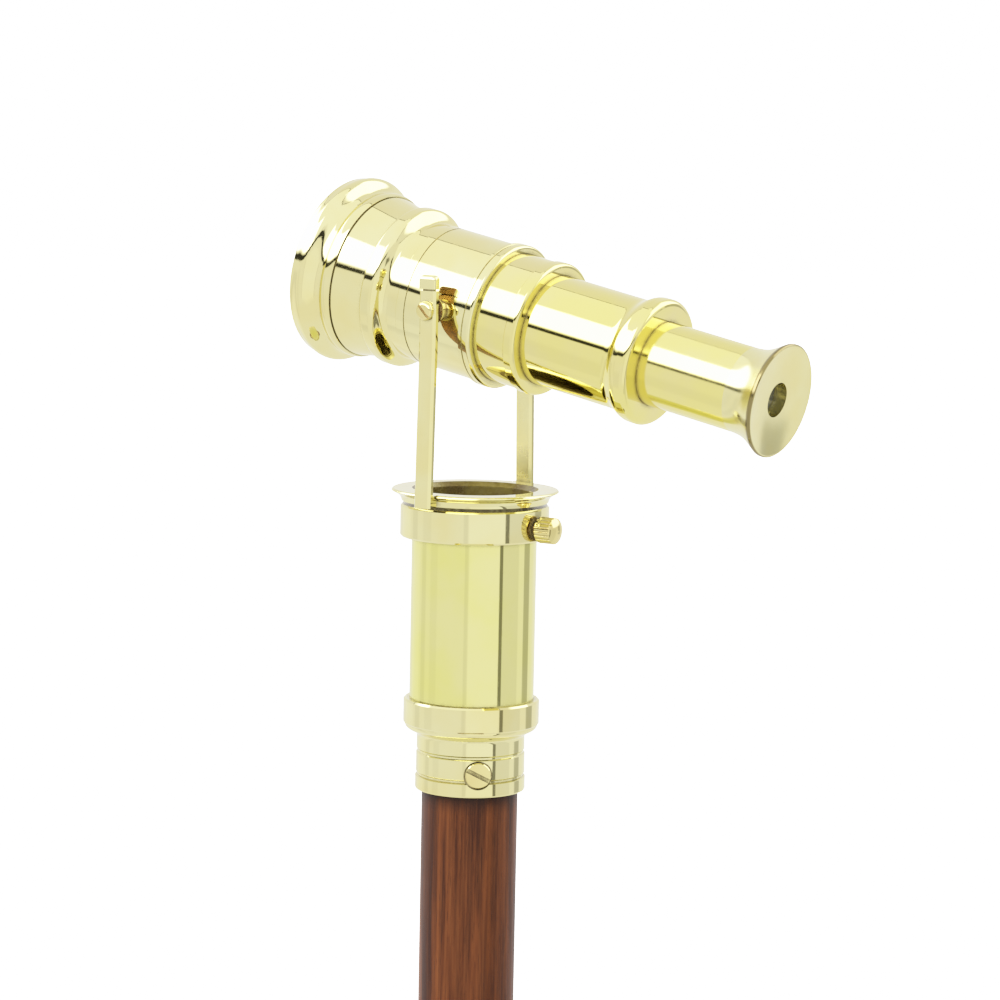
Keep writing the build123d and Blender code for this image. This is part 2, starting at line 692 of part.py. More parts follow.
# ---------------------------------------------------------------- telescope: draw tubes
with BuildPart() as draw_tube_1:
    with BuildSketch(ACROSS.offset(TUBE_STARTS[0])):
        Circle(DRAW_R[0])
        Circle(DRAW_R[0] - WALL, mode=Mode.SUBTRACT)
    extrude(amount=TUBE_ENDS[0] - TUBE_STARTS[0])
draw_tube_1.part.label = "draw_tube_1"
export_step(draw_tube_1.part, "parts/draw_tube_1.step")

with BuildPart() as draw_tube_2:
    with BuildSketch(ACROSS.offset(TUBE_STARTS[1])):
        Circle(DRAW_R[1])
        Circle(DRAW_R[1] - WALL, mode=Mode.SUBTRACT)
    extrude(amount=TUBE_ENDS[1] - TUBE_STARTS[1])
draw_tube_2.part.label = "draw_tube_2"
export_step(draw_tube_2.part, "parts/draw_tube_2.step")

with BuildPart() as eye_tube:
    with BuildSketch(ACROSS.offset(TUBE_STARTS[2])):
        Circle(DRAW_R[2])
        Circle(DRAW_R[2] - WALL, mode=Mode.SUBTRACT)
    extrude(amount=TUBE_ENDS[2] - TUBE_STARTS[2])
eye_tube.part.label = "eye_tube"
export_step(eye_tube.part, "parts/eye_tube.step")

for name, start, outer, bore in (
    ("draw_1_stop_ring", TUBE_STARTS[0], DRAW_R[0], BARREL_BORE),
    ("draw_2_stop_ring", TUBE_STARTS[1], DRAW_R[1], DRAW_R[0] - WALL),
    ("eye_stop_ring", TUBE_STARTS[2], DRAW_R[2], DRAW_R[1] - WALL),
):
    with BuildPart() as stop_ring:
        with BuildSketch(ACROSS.offset(start)):
            Circle(bore - RUNNING)
            Circle(outer, mode=Mode.SUBTRACT)
        extrude(amount=STOP_LENGTH)
    stop_ring.part.label = name
    export_step(stop_ring.part, f"parts/{name}.step")

with BuildPart() as draw_1_end_ring:
    with BuildSketch(SECTION):
        with BuildLine():
            Polyline(
                (BUSH_2_START, DRAW_R[1] + RUNNING),
                (BUSH_2_START, DRAW_R[0] - WALL),
                (TUBE_ENDS[0], DRAW_R[0] - WALL),
                (TUBE_ENDS[0], DRAW_R[0] + 0.1),
                (TUBE_ENDS[0] + 0.3, END_RING_2_R),
                (END_RING_2 - 1.0, END_RING_2_R),
            )
            ThreePointArc(
                (END_RING_2 - 1.0, END_RING_2_R),
                (END_RING_2 - 0.25, END_RING_2_R - 0.3),
                (END_RING_2, END_RING_2_R - 1.0),
            )
            Polyline(
                (END_RING_2, END_RING_2_R - 1.0),
                (END_RING_2, DRAW_R[1] + RUNNING),
                (BUSH_2_START, DRAW_R[1] + RUNNING),
            )
        make_face()
    revolve(axis=OPTICAL_AXIS)
draw_1_end_ring.part.label = "draw_1_end_ring"
export_step(draw_1_end_ring.part, "parts/draw_1_end_ring.step")

with BuildPart() as draw_2_end_ring:
    with BuildSketch(SECTION):
        with BuildLine():
            Polyline(
                (BUSH_3_START, DRAW_R[2] + RUNNING),
                (BUSH_3_START, DRAW_R[1] - WALL),
                (TUBE_ENDS[1], DRAW_R[1] - WALL),
                (TUBE_ENDS[1], DRAW_R[1]),
            )
            Bezier(
                (TUBE_ENDS[1], DRAW_R[1]),
                (TUBE_ENDS[1] + 2.0, DRAW_R[1]),
                (TUBE_ENDS[1] + 2.6, END_RING_3_R - 0.1),
                (TUBE_ENDS[1] + RING_3_FLARE, END_RING_3_R),
            )
            Line((TUBE_ENDS[1] + RING_3_FLARE, END_RING_3_R), (END_RING_3 - 1.3, END_RING_3_R))
            ThreePointArc(
                (END_RING_3 - 1.3, END_RING_3_R),
                (END_RING_3 - 0.4, END_RING_3_R - 0.4),
                (END_RING_3, END_RING_3_R - 1.3),
            )
            Polyline(
                (END_RING_3, END_RING_3_R - 1.3),
                (END_RING_3, DRAW_R[2] + RUNNING),
                (BUSH_3_START, DRAW_R[2] + RUNNING),
            )
        make_face()
    revolve(axis=OPTICAL_AXIS)
draw_2_end_ring.part.label = "draw_2_end_ring"
export_step(draw_2_end_ring.part, "parts/draw_2_end_ring.step")

# ---------------------------------------------------------------- telescope: eyepiece
with BuildPart() as eye_cup:
    with BuildSketch(SECTION):
        with BuildLine():
            Polyline(
                (CUP_SPIGOT_START, CUP_BORE),
                (CUP_SPIGOT_START, DRAW_R[2] - WALL),
                (TUBE_ENDS[2], DRAW_R[2] - WALL),
                (TUBE_ENDS[2], DRAW_R[2]),
            )
            Bezier(
                (TUBE_ENDS[2], DRAW_R[2]),
                (TUBE_ENDS[2] + 4.2, DRAW_R[2] + 0.1),
                (CUP_FACE - 3.2, 11.2),
                (CUP_FACE - 0.7, CUP_R),
            )
            Polyline(
                (CUP_FACE - 0.7, CUP_R),
                (CUP_FACE - 0.2, CUP_R),
                (CUP_FACE, CUP_R - 0.2),
                (CUP_FACE, CUP_R - 0.5),
            )
            ThreePointArc(
                (CUP_FACE, CUP_R - 0.5),
                (CUP_FACE - 0.7, 8.0),
                (CUP_FACE - 1.0, EYE_HOLE_R),
            )
            Polyline(
                (CUP_FACE - 1.0, EYE_HOLE_R),
                (EYE_LENS_FACE, EYE_HOLE_R),
                (EYE_LENS_FACE, CUP_BORE),
                (CUP_SPIGOT_START, CUP_BORE),
            )
        make_face()
    revolve(axis=OPTICAL_AXIS)
eye_cup.part.label = "eye_cup"
export_step(eye_cup.part, "parts/eye_cup.step")

with BuildPart() as erector_tube:
    with BuildSketch(ACROSS.offset(ERECTOR_START)):
        Circle(DRAW_R[2] - WALL)
        Circle(ERECTOR_BORE, mode=Mode.SUBTRACT)
    extrude(amount=ERECTOR_LENGTH)
erector_tube.part.label = "erector_tube"
export_step(erector_tube.part, "parts/erector_tube.step")

for name, flat_face, bulge, radius in (
    ("erector_lens_front", ERECTOR_START + 1.0, 1, ERECTOR_BORE),
    ("erector_lens_rear", ERECTOR_START + ERECTOR_LENGTH - 1.0, -1, ERECTOR_BORE),
    ("field_lens", FIELD_LENS, -1, DRAW_R[2] - WALL),
    ("eye_lens", EYE_LENS_FACE, -1, CUP_BORE),
):
    with BuildPart() as lens:
        with BuildSketch(SECTION):
            with BuildLine():
                Polyline(
                    (flat_face + bulge * LENS_MIDDLE, 0),
                    (flat_face, 0),
                    (flat_face, radius),
                    (flat_face + bulge * LENS_EDGE, radius),
                )
                ThreePointArc(
                    (flat_face + bulge * LENS_EDGE, radius),
                    cap_middle(flat_face + bulge * LENS_MIDDLE, flat_face + bulge * LENS_EDGE, radius),
                    (flat_face + bulge * LENS_MIDDLE, 0),
                )
            make_face()
        revolve(axis=OPTICAL_AXIS)
    lens.part.label = name
    export_step(lens.part, f"parts/{name}.step")
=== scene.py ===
"""Looks for the brass telescope: studio, camera, brass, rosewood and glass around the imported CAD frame.

Metres, +Z up the stick, telescope in the XZ plane with its eyepiece towards +X and its left side at -Y.
"""

import json
from math import cos, pi, radians, sin

import bmesh
import bpy
from mathutils import Matrix, Vector


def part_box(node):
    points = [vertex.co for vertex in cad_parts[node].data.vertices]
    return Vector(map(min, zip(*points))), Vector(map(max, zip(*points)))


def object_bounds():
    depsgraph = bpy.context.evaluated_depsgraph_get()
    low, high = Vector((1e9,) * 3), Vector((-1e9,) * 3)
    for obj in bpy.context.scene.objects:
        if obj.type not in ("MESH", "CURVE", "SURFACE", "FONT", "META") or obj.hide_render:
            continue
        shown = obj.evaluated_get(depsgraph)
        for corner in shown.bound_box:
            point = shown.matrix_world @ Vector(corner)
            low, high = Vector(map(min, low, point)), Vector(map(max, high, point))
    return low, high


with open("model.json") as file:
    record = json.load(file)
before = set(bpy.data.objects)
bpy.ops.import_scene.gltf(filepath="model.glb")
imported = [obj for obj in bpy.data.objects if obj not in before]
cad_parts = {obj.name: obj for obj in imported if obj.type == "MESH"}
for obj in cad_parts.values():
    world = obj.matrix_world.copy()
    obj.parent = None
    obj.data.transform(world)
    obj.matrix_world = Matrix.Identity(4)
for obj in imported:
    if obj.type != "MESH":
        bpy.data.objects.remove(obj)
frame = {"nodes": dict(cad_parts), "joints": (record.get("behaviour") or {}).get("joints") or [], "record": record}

cad_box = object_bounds()

MM = 0.001
JOINTS = {joint["name"]: joint for joint in frame["joints"]}
NODE_SLOTS = {part["node"]: part["material_slot"] for part in frame["record"]["subparts"]}

# ---------------------------------------------------------------- places taken from the frame
PIVOT = Vector(JOINTS["scope_tilt"]["pos_m"])
OPTICAL = Vector(JOINTS["eyepiece_slide"]["axis"])  # points to the eyepiece
RIM_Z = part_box("yoke_ring")[1].z
SOCKET_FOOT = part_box("shaft_socket")[0].z
CUP_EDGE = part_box("eye_cup")[1].y


# ================================================================ node graphs
class Graph:
    """A node tree under construction. add() makes a node, sets its options, and sets or links its inputs."""

    def __init__(self, tree):
        self.tree = tree
        tree.nodes.clear()

    def add(self, kind, inputs=None, **options):
        made = self.tree.nodes.new(kind)
        for name, value in options.items():
            setattr(made, name, value)
        for name, value in (inputs or {}).items():
            self.feed(made.inputs[name], value)
        return made

    def feed(self, socket, value):
        if isinstance(value, bpy.types.NodeSocket):
            self.tree.links.new(value, socket)
        else:
            socket.default_value = value

    def math(self, operation, *values):
        made = self.add("ShaderNodeMath", operation=operation)
        for socket, value in zip(made.inputs, values):
            self.feed(socket, value)
        return made.outputs[0]

    def vector(self, operation, *values):
        made = self.add("ShaderNodeVectorMath", operation=operation)
        sockets = (made.inputs[0], made.inputs["Scale"]) if operation == "SCALE" else made.inputs
        for socket, value in zip(sockets, values):
            self.feed(socket, value)
        return made.outputs["Value" if operation in ("DOT_PRODUCT", "LENGTH") else "Vector"]

    def noise(self, vector, scale, detail=2.0, roughness=0.5):
        inputs = {"Vector": vector, "Scale": scale, "Detail": detail, "Roughness": roughness}
        return self.add("ShaderNodeTexNoise", inputs).outputs["Fac"]

    def stretch(self, vector, scale):
        return self.add("ShaderNodeMapping", {"Vector": vector, "Scale": scale}).outputs[0]

    def remap(self, value, low, high, new_low=0.0, new_high=1.0, smooth=True):
        kind = "SMOOTHSTEP" if smooth else "LINEAR"
        inputs = {"Value": value, "From Min": low, "From Max": high, "To Min": new_low, "To Max": new_high}
        return self.add("ShaderNodeMapRange", inputs, interpolation_type=kind).outputs[0]

    def mix(self, factor, first, second, blend="MIX"):
        made = self.add("ShaderNodeMix", data_type="RGBA", blend_type=blend)
        self.feed(made.inputs[0], factor)
        self.feed(made.inputs[6], first)
        self.feed(made.inputs[7], second)
        return made.outputs[2]

    def bump(self, height, distance, strength=1.0):
        inputs = {"Strength": strength, "Distance": distance, "Height": height}
        return self.add("ShaderNodeBump", inputs).outputs[0]

    def surface(self, inputs):
        """The principled surface, joined to the material's output."""
        shader = self.add("ShaderNodeBsdfPrincipled", inputs)
        self.add("ShaderNodeOutputMaterial", {"Surface": shader.outputs[0]})

    def window(self, value, low, high, soft):
        """One between low and high, falling smoothly to nothing over the soft margin outside."""
        rise = self.remap(value, low - soft, low)
        fall = self.remap(value, high, high + soft, 1.0, 0.0)
        return self.math("MULTIPLY", rise, fall)


def new_material(name):
    material = bpy.data.materials.new(name)
    material.use_nodes = True
    return material, Graph(material.node_tree)


def rgb(red, green, blue):
    return (red, green, blue, 1.0)


# ================================================================ studio
CAMERA_AZIMUTH = radians(34.0)  # from -Y towards +X
CAMERA_ELEVATION = radians(6.705)
CAMERA_ROLL = radians(1.122)
CAMERA_DISTANCE = 0.7742
CAMERA_LENS = 122.4
FILM_WIDTH = 36.0
NEAR_CLIP = 0.01
AIM_OFFSET = Vector((4.7, 3.17, -2.6)) * MM  # of the picture's centre, from the middle of the flared ring


def make_camera():
    """The camera, square to the stick's middle line apart from a slight roll."""
    back = Vector((
        sin(CAMERA_AZIMUTH) * cos(CAMERA_ELEVATION),
        -cos(CAMERA_AZIMUTH) * cos(CAMERA_ELEVATION),
        sin(CAMERA_ELEVATION),
    ))
    right = Vector((cos(CAMERA_AZIMUTH), sin(CAMERA_AZIMUTH), 0.0))
    up = back.cross(right)
    rolled_right = right * cos(CAMERA_ROLL) + up * sin(CAMERA_ROLL)
    rolled_up = up * cos(CAMERA_ROLL) - right * sin(CAMERA_ROLL)
    place = Vector((0.0, 0.0, RIM_Z)) + AIM_OFFSET + back * CAMERA_DISTANCE
    data = bpy.data.cameras.new("camera")
    data.lens = CAMERA_LENS
    data.sensor_width = FILM_WIDTH
    data.clip_start = NEAR_CLIP
    camera = bpy.data.objects.new("camera", data)
    bpy.context.scene.collection.objects.link(camera)
    turn = Matrix((rolled_right, rolled_up, back)).transposed().to_4x4()
    camera.matrix_world = Matrix.Translation(place) @ turn
    bpy.context.scene.camera = camera


TONE_WHITE = 3.0  # scene brightness that prints as pure white
CEILING_FROM = (0.26, 0.34)  # height at which the ceiling starts, and where it is complete
SEAM_LEAN = 0.29  # how far behind the telescope the seam runs, for each unit of height
SEAM_WIDTH = 0.014
SEAM_DEPTH = 0.8
NEAR_PANEL = 1.3
FAR_PANEL = 0.98
ON_MATT = 0.6  # share of the room's light that reaches matt surfaces

# Patches of the room: left, right, low and high edges in degrees, softness round and up, and strength.
ROOM_LIGHTS = (
    (-85, 30, 19, 48, 14, 4, 4.5),  # the front softbox
    (110, 165, 15, 50, 6, 6, 2.0),  # a smaller one behind on the right
    (26, 82, -40, -2, 3, 8, 0.12),  # the pale table's brighter right half
    (-110, -86, -40, -2, 6, 6, 0.08),
)
ROOM_SHADES = (
    (-75, 75, 9.8, 13.2, 6, 2.0, 0.97),  # the gap under the softbox
    (84, 89, -50, 4, 2, 2.5, 0.78),  # the edge of the sweep, on the right
    (89, 124, -45, 2, 3, 8, 0.14),
    (19, 25, -40, -2, 2, 4, 0.12),
    (-50, -38, -40, -2, 4, 6, 0.07),
    (-74, -66, -40, -2, 4, 5, 0.12),
    (142, 158, -12, 8, 3, 3, 0.5),  # a dark stand behind on the right, seen in the arms' edges
)


def make_world():
    """A white room: a wide softbox in front, a narrow dark gap under it, and a pale table tone below."""
    world = bpy.data.worlds.new("studio")
    bpy.context.scene.world = world
    world.use_nodes = True
    g = Graph(world.node_tree)
    axes = g.add("ShaderNodeSeparateXYZ", {"Vector": g.add("ShaderNodeTexCoord").outputs["Generated"]})
    x, y, z = axes.outputs
    height = g.math("ARCSINE", z)
    around = g.math("ARCTAN2", x, g.math("MULTIPLY", y, -1.0))  # zero towards -Y, growing towards +X

    def patch(left, right, low, high, soft_round, soft_up):
        """A soft-edged rectangle of the room, in degrees round and up."""
        across = g.window(around, radians(left), radians(right), radians(soft_round))
        return g.math("MULTIPLY", across, g.window(height, radians(low), radians(high), radians(soft_up)))

    # The ceiling: a paler panel towards the softbox, a duller one beyond, and a thin dark seam between.
    overhead = g.remap(z, *CEILING_FROM)
    beyond = g.math("MULTIPLY_ADD", z, -SEAM_LEAN, y)
    panel = g.remap(beyond, 0.0, SEAM_WIDTH, NEAR_PANEL, FAR_PANEL)
    lit = g.math("MULTIPLY_ADD", g.math("SUBTRACT", panel, 1.0), overhead, 1.0)
    seam = g.math("MULTIPLY", overhead, g.window(beyond, -SEAM_WIDTH / 2, SEAM_WIDTH / 2, SEAM_WIDTH / 2))
    shade = g.math("MULTIPLY", seam, SEAM_DEPTH)
    for *edges, extra in ROOM_LIGHTS:
        lit = g.math("MULTIPLY_ADD", patch(*edges), extra, lit)
    for *edges, depth in ROOM_SHADES:
        shade = g.math("MAXIMUM", shade, g.math("MULTIPLY", patch(*edges), depth))
    studio = g.math("MULTIPLY", lit, g.math("SUBTRACT", 1.0, shade))
    paths = g.add("ShaderNodeLightPath").outputs
    studio = g.math("MULTIPLY", studio, g.remap(paths["Is Diffuse Ray"], 0.0, 1.0, 1.0, ON_MATT, smooth=False))
    strength = g.remap(paths["Is Camera Ray"], 0.0, 1.0, studio, TONE_WHITE, smooth=False)
    light = g.add("ShaderNodeBackground", {"Color": rgb(1.0, 1.0, 1.0), "Strength": strength})
    g.add("ShaderNodeOutputWorld", {"Surface": light.outputs[0]})


FLOOR_RADIUS = 6.0
FLOOR_GLOW = 1.5  # lifts the lit floor to a clean white


def make_floor():
    """A plain pale disc that the stick's foot stands on."""
    mesh = bpy.data.meshes.new("studio_floor")
    bm = bmesh.new()
    bmesh.ops.create_circle(bm, cap_ends=True, segments=96, radius=FLOOR_RADIUS)
    bm.to_mesh(mesh)
    bm.free()
    floor = bpy.data.objects.new("studio_floor", mesh)
    bpy.context.scene.collection.objects.link(floor)
    floor.location.z = cad_box[0][2]
    floor.visible_glossy = False  # the room's own table tone is what the brass mirrors
    floor.visible_diffuse = False
    material, g = new_material("studio_floor")
    coords = g.add("ShaderNodeTexCoord").outputs["Object"]
    tone = g.mix(g.noise(coords, 40.0, 3.0), rgb(0.80, 0.80, 0.795), rgb(0.83, 0.83, 0.825))
    glow = rgb(1.0, 1.0, 0.995)
    g.surface({"Base Color": tone, "Roughness": 0.7, "Emission Color": glow, "Emission Strength": FLOOR_GLOW})
    mesh.materials.append(material)


TONE_SHOULDER = ((0.7, 0.7), (1.0, 0.86), (1.32, 0.94), (1.9, 0.985))  # scene brightness, printed brightness


def set_tone_curve():
    """A plain display with a soft shoulder, so bright brass runs to white as it does on a camera."""
    view = bpy.context.scene.view_settings
    view.view_transform = "Standard"
    view.use_curve_mapping = True
    mapping = view.curve_mapping
    mapping.white_level = (TONE_WHITE, TONE_WHITE, TONE_WHITE)
    points = mapping.curves[3].points
    for bright, printed in TONE_SHOULDER:
        points.new(bright / TONE_WHITE, printed)
    mapping.update()


KEY_SIZE = (0.9, 0.6)
KEY_POWER = 4.0
KEY_TOWARD = Vector((-0.45, -0.8, 0.75)).normalized()
KEY_DISTANCE = 1.6


def make_key_light():
    """A large soft light over the camera's left shoulder, which gives the foot a gentle shadow."""
    data = bpy.data.lights.new("key", "AREA")
    data.shape = "RECTANGLE"
    data.size, data.size_y = KEY_SIZE
    data.energy = KEY_POWER
    light = bpy.data.objects.new("key", data)
    bpy.context.scene.collection.objects.link(light)
    turn = KEY_TOWARD.to_track_quat("Z", "Y").to_matrix().to_4x4()
    light.matrix_world = Matrix.Translation(PIVOT + KEY_TOWARD * KEY_DISTANCE) @ turn
    light.visible_glossy = False


# ================================================================ materials
TILT = OPTICAL.to_track_quat("X", "Z").to_euler().y  # turn about Y that lays local X along the optical axis
ALONG_SCOPE = (0.0, -TILT, 0.0)
ALONG_STICK = (0.0, pi / 2, 0.0)


def axis_coords(g, turn):
    """Coordinates in millimetres whose X runs along the piece's axis."""
    coords = g.add("ShaderNodeTexCoord").outputs["Object"]
    inputs = {"Vector": coords, "Rotation": turn, "Scale": (1.0 / MM, 1.0 / MM, 1.0 / MM)}
    return g.add("ShaderNodeMapping", inputs).outputs[0]


# ---------------------------------------------------------------- brass
# Colours for corners found by ambient occlusion: tarnish together with painted shade.
TARNISH_AND_SHADE = rgb(0.11, 0.068, 0.02)
RED_TARNISH_AND_SHADE = rgb(0.15, 0.055, 0.016)
# the screw slot's near-black: painted shade in the slot and the gap round the head, with some crust
SLOT_CRUST_AND_SHADE = rgb(0.035, 0.022, 0.008)
BORE_TARNISH = (rgb(0.075, 0.045, 0.010), rgb(0.15, 0.115, 0.024))
ARM_TARNISH = (rgb(0.13, 0.045, 0.012), rgb(0.36, 0.14, 0.035))
SPECK_BROWN = rgb(0.42, 0.30, 0.12)

CORNER_REACH = 1.7 * MM  # tarnish and painted shade gather where another face is nearer than this
BUFFED_ROUND = (7.0, 0.25, 0.25)  # grain of the buffing lines that run round the axis
BUFFED_ALONG = (0.12, 5.0, 5.0)  # and of those that run along it
SCRATCH_GRAIN = (0.35, 2.4, 9.0)
RELIEF = 0.02 * MM  # depth that one unit of bump height stands for
TURNED_STREAK = 0.75  # how far the cup's lathe rings spread a highlight

BORE_EDGE = (15.0 * MM, 15.3 * MM)  # the bore's mask fades out over these radii
ARM_SIDE = (-16.0 * MM, -15.0 * MM)  # the left arm's mask fades out over these Y values
ARM_UPPER = (RIM_Z + 12.0 * MM, RIM_Z + 22.0 * MM)  # and in over these heights


def facing_axis(g):
    """Masks of what faces the stick's middle line: every surface, the bore's, and the upper left arm's."""
    coords = g.add("ShaderNodeTexCoord").outputs
    flat = g.vector("MULTIPLY", coords["Object"], (1.0, 1.0, 0.0))
    facing = g.vector("DOT_PRODUCT", g.vector("NORMALIZE", flat), coords["Normal"])
    inside = g.remap(g.vector("LENGTH", flat), *BORE_EDGE, 1.0, 0.0)
    apart = g.add("ShaderNodeSeparateXYZ", {"Vector": coords["Object"]}).outputs
    left_upper = g.math("MULTIPLY", g.remap(apart["Y"], *ARM_SIDE, 1.0, 0.0), g.remap(apart["Z"], *ARM_UPPER))
    inward = g.remap(facing, -0.7, -0.4, 1.0, 0.0)
    return inward, g.math("MULTIPLY", inward, inside), g.math("MULTIPLY", inward, left_upper)


def dull_inward_faces(g, place, stain, colour, rough, metal):
    """Less polish on what faces the stick's middle line, and old tarnish in the bore and high on the left arm."""
    inward, bore, arm = facing_axis(g)
    dull = g.math("MULTIPLY", g.math("MAXIMUM", bore, arm), g.math("MULTIPLY_ADD", stain, 0.08, 0.9))
    blotch = g.remap(g.noise(place, 0.22, 2.0, 0.45), 0.35, 0.65)
    crust = g.mix(arm, g.mix(blotch, *BORE_TARNISH), g.mix(blotch, *ARM_TARNISH))
    rough = g.math("MULTIPLY_ADD", inward, 0.22, rough)
    metal = g.math("MULTIPLY_ADD", dull, -0.7, metal)
    return g.mix(dull, colour, crust), rough, metal


def brass_relief(g, place, buff):
    """Bump from hand-polished waves, buffing lines and a few fine scratches."""
    scratch = g.remap(g.noise(g.stretch(place, SCRATCH_GRAIN), 1.0, 2.0, 0.4), 0.66, 0.72)
    wave = g.noise(place, 0.07, 2.0, 0.5)
    height = g.math("MULTIPLY_ADD", scratch, -0.03, g.math("MULTIPLY_ADD", buff, 0.02, wave))
    return g.bump(height, RELIEF)


def brass(name, tint, warm, turn, polish=0.03, buffed=BUFFED_ROUND, painted_shade=(0.38, 0.80), corner_tarnish_and_shade=TARNISH_AND_SHADE,
          dull_inside=False, turned_about=None):
    """Polished brass: slow colour change, tarnish and painted shade in the corners, specks, smudges, buffing lines
    and scratches.
    """
    material, g = new_material(name)
    place = axis_coords(g, turn)
    # Ambient occlusion marks corners, gaps and slots, which get tarnish and painted shade, more roughness and less
    # metal.
    corner = g.add("ShaderNodeAmbientOcclusion", {"Distance": CORNER_REACH}, samples=6).outputs["AO"]
    corner = g.remap(corner, *painted_shade, 1.0, 0.0)
    stain = g.remap(g.noise(place, 0.9, 4.0, 0.65), 0.3, 0.7)
    speck = g.remap(g.noise(place, 6.0, 1.0, 0.5), 0.74, 0.82)
    smudge = g.remap(g.noise(place, 0.16, 5.0, 0.6), 0.45, 0.75)
    buff = g.noise(g.stretch(place, buffed), 1.0, 3.0, 0.6)

    colour = g.mix(g.remap(g.noise(place, 0.05, 3.0, 0.6), 0.35, 0.68), tint, warm)
    colour = g.mix(g.math("MULTIPLY", corner, g.math("MULTIPLY_ADD", stain, 0.35, 0.6)), colour, corner_tarnish_and_shade)
    colour = g.mix(g.math("MULTIPLY", speck, 0.3), colour, SPECK_BROWN)
    rough = polish
    for wear, amount in ((smudge, 0.035), (buff, 0.02), (speck, 0.12), (corner, 0.08)):
        rough = g.math("MULTIPLY_ADD", wear, amount, rough)
    metal = g.math("MULTIPLY_ADD", corner, -0.5, 1.0)
    if dull_inside:
        colour, rough, metal = dull_inward_faces(g, place, stain, colour, rough, metal)

    inputs = {"Metallic": metal, "Roughness": rough, "Normal": brass_relief(g, place, buff)}
    if turned_about:
        inputs["Tangent"], radius = away_from_axis(g, *turned_about)
        inputs["Anisotropic"] = TURNED_STREAK
        # a dark line painted round the cup's rim stands in for the shade on its edge
        colour = g.mix(g.remap(radius, CUP_EDGE - 0.45 * MM, CUP_EDGE - 0.1 * MM, 0.0, 0.8), colour, TARNISH_AND_SHADE)
    g.surface(inputs | {"Base Color": colour})
    return material


def away_from_axis(g, centre, direction):
    """The direction straight away from an axis, which a lathe's rings spread the light along, and the distance."""
    out = g.vector("SUBTRACT", g.add("ShaderNodeTexCoord").outputs["Object"], centre)
    along = g.vector("DOT_PRODUCT", out, direction)
    across = g.vector("SUBTRACT", out, g.vector("SCALE", direction, along))
    turn = {"Vector": g.vector("NORMALIZE", across)}
    radial = g.add("ShaderNodeVectorTransform", turn, convert_from="OBJECT", convert_to="WORLD")
    return radial.outputs[0], g.vector("LENGTH", across)


def blackened_brass(name, turn):
    """Matt black lacquer inside the optics, rubbed thin in places."""
    material, g = new_material(name)
    place = axis_coords(g, turn)
    rubbed = g.remap(g.noise(place, 0.5, 4.0, 0.65), 0.62, 0.8)
    colour = g.mix(rubbed, rgb(0.018, 0.016, 0.014), rgb(0.07, 0.055, 0.03))
    grain = g.noise(place, 9.0, 3.0)
    rough = g.math("MULTIPLY_ADD", grain, 0.25, 0.4)
    g.surface({"Base Color": colour, "Roughness": rough, "Normal": g.bump(grain, RELIEF)})
    return material


GLASS_IOR = 1.52
CLEAR_GLASS = rgb(0.93, 0.95, 0.93)
PAINTED_SHADE_GLASS = rgb(0.075, 0.085, 0.095)  # the eye lens, painted dark to stand in for the shaded inside of the tube behind it


def lens_glass(name, turn, body=CLEAR_GLASS, clear=1.0):
    """Optical glass with a trace of dust on it."""
    material, g = new_material(name)
    place = axis_coords(g, turn)
    dust = g.remap(g.noise(place, 3.0, 3.0, 0.7), 0.6, 0.8)
    rough = g.math("MULTIPLY_ADD", dust, 0.06, 0.01)
    colour = g.mix(g.math("MULTIPLY", dust, 0.25), body, rgb(0.5, 0.5, 0.48))
    g.surface({"Base Color": colour, "Roughness": rough, "IOR": GLASS_IOR, "Transmission Weight": clear})
    return material


WOOD_DARK = rgb(0.032, 0.0075, 0.0024)
WOOD_RED = rgb(0.165, 0.048, 0.0135)
WOOD_PALE = rgb(0.20, 0.068, 0.021)
WOOD_STREAK = rgb(0.020, 0.006, 0.003)
WOOD_PORE = rgb(0.014, 0.005, 0.003)
# painted shadow for the wood just under the socket
WOOD_PAINTED_SHADOW = rgb(0.012, 0.005, 0.003)
SHADOW_REACH = 5.0 * MM  # how far below the socket the painted shadow runs
PORE_DEPTH = 0.05 * MM
VARNISH = {"Specular IOR Level": 0.12, "Coat Weight": 0.12, "Coat Roughness": 0.2, "Coat IOR": 1.45}


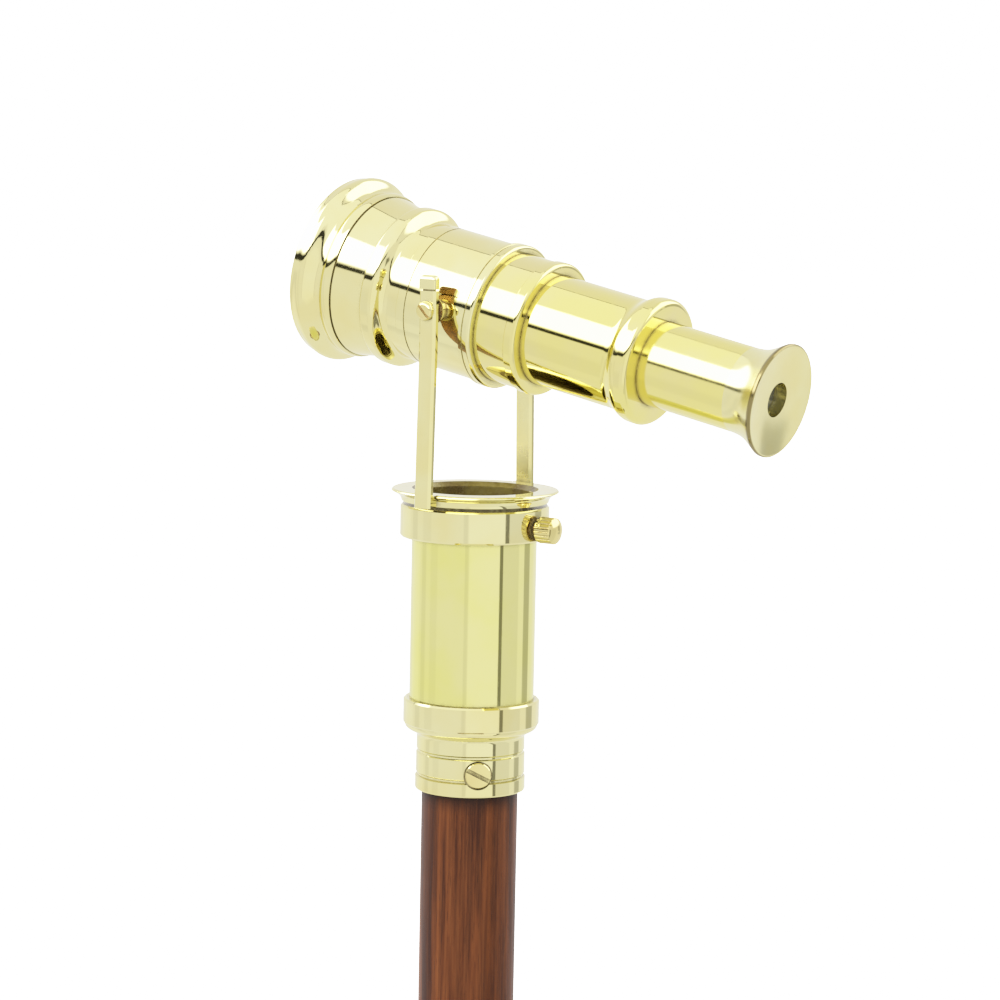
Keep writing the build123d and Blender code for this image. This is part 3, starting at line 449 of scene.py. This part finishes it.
def rosewood(name):
    """Varnished reddish wood: broad wandering figure, dark streaks, open pores, and a painted shadow under the
    socket.
    """
    material, g = new_material(name)
    place = axis_coords(g, ALONG_STICK)
    wander = g.noise(g.stretch(place, (0.012, 0.10, 0.10)), 1.0, 3.0, 0.5)
    figure = g.noise(g.stretch(place, (0.010, 0.22, 0.22)), g.math("MULTIPLY_ADD", wander, 0.8, 0.8), 6.0, 0.62)
    fibre = g.noise(g.stretch(place, (0.035, 2.2, 2.2)), 1.0, 4.0, 0.65)
    pores = g.noise(g.stretch(place, (0.22, 6.5, 6.5)), 1.0, 2.0, 0.5)
    pores = g.remap(pores, 0.62, 0.70)

    colour = g.mix(g.remap(figure, 0.36, 0.66), WOOD_DARK, WOOD_RED)
    colour = g.mix(g.remap(fibre, 0.4, 0.75, 0.0, 0.45), colour, WOOD_PALE)
    streak = g.remap(g.noise(g.stretch(place, (0.008, 0.14, 0.14)), 1.0, 3.0, 0.6), 0.50, 0.62, 0.0, 0.7)
    colour = g.mix(streak, colour, WOOD_STREAK)
    colour = g.mix(g.math("MULTIPLY", pores, 0.6), colour, WOOD_PORE)
    # Painted shadow: the wood darkens towards the foot of the brass socket.
    coords = g.add("ShaderNodeTexCoord").outputs["Object"]
    level = g.add("ShaderNodeSeparateXYZ", {"Vector": coords}).outputs["Z"]
    painted_shade = g.remap(level, SOCKET_FOOT - SHADOW_REACH, SOCKET_FOOT, 0.0, 0.85)
    colour = g.mix(g.math("MULTIPLY", painted_shade, g.remap(fibre, 0.25, 0.6, 0.7, 1.0)), colour, WOOD_PAINTED_SHADOW)

    rough = g.math("MULTIPLY_ADD", fibre, 0.2, 0.34)
    height = g.math("MULTIPLY_ADD", pores, -1.0, g.math("MULTIPLY", fibre, 0.4))
    g.surface({"Base Color": colour, "Roughness": rough, "Normal": g.bump(height, PORE_DEPTH, 0.5)} | VARNISH)
    return material


# ---------------------------------------------------------------- which piece wears what
PALE_BRASS = rgb(0.80, 0.745, 0.365)
WARM_BRASS = rgb(0.79, 0.70, 0.29)
DRAWN_BRASS = rgb(0.82, 0.735, 0.235)
TUBE_BRASS = rgb(0.78, 0.755, 0.215)
GREEN_BRASS = rgb(0.79, 0.75, 0.29)
DULL_BRASS = rgb(0.70, 0.58, 0.22)
SCOPE_BODIES = ("barrel", "draw_1", "draw_2", "eyepiece")


def local_axis(node):
    """The optical axis in a node's own coordinates: a point on it and its direction."""
    inside = node.matrix_world.inverted()
    return inside @ PIVOT, (inside.to_3x3() @ OPTICAL).normalized()


def make_materials():
    """A material for each record slot, laid along the axis of the telescope or of the stick."""
    made = {
        ("drawn_brass", "scope"): brass("drawn_brass", DRAWN_BRASS, WARM_BRASS, ALONG_SCOPE),
        ("blackened_brass", "scope"): blackened_brass("blackened_brass", ALONG_SCOPE),
        ("lens_glass", "scope"): lens_glass("lens_glass", ALONG_SCOPE),
        ("handle_brass", "stick"): brass("handle_brass", PALE_BRASS, WARM_BRASS, ALONG_STICK, buffed=BUFFED_ALONG),
        ("rosewood", "stick"): rosewood("rosewood"),
    }
    for part, turn in (("scope", ALONG_SCOPE), ("stick", ALONG_STICK)):
        made["polished_brass", part] = brass(
            f"polished_brass_{part}", PALE_BRASS, WARM_BRASS, turn, dull_inside=part == "stick")
        made["screw_brass", part] = brass(
            f"screw_brass_{part}", WARM_BRASS, DULL_BRASS, turn, 0.08, painted_shade=(0.55, 0.95), corner_tarnish_and_shade=RED_TARNISH_AND_SHADE)
    return made


def make_special_materials():
    """Pieces whose finish or painted shade differs from the rest of their slot."""
    cup_axis = local_axis(frame["nodes"]["eye_cup"])
    return {
        "eye_tube": brass("satin_drawn_brass", DRAWN_BRASS, WARM_BRASS, ALONG_SCOPE, 0.10, BUFFED_ALONG),
        "handle_tube": brass("handle_tube_brass", TUBE_BRASS, GREEN_BRASS, ALONG_STICK, buffed=BUFFED_ALONG),
        "eye_cup": brass("turned_brass", PALE_BRASS, WARM_BRASS, ALONG_SCOPE, 0.15, turned_about=cup_axis),
        # the eye lens is painted dark and made mostly opaque, as painted shade for the tube behind it
        "eye_lens": lens_glass("eye_lens_glass", ALONG_SCOPE, PAINTED_SHADE_GLASS, 0.15),
        # the socket screw's slot and head gap get near-black painted shade
        "socket_screw": brass(
            "socket_screw_brass", WARM_BRASS, DULL_BRASS, ALONG_STICK, 0.06,
            painted_shade=(0.6, 0.95), corner_tarnish_and_shade=SLOT_CRUST_AND_SHADE),
    }


def dress_cad_nodes(materials, special):
    for body, nodes in frame["record"]["behaviour"]["bodies"].items():
        part = "scope" if body in SCOPE_BODIES else "stick"
        for name in nodes:
            node = frame["nodes"][name]
            node.data.materials.clear()
            node.data.materials.append(special.get(name) or materials[NODE_SLOTS[name], part])


# ================================================================ scene
set_tone_curve()
make_camera()
make_world()
make_floor()
make_key_light()
dress_cad_nodes(make_materials(), make_special_materials())
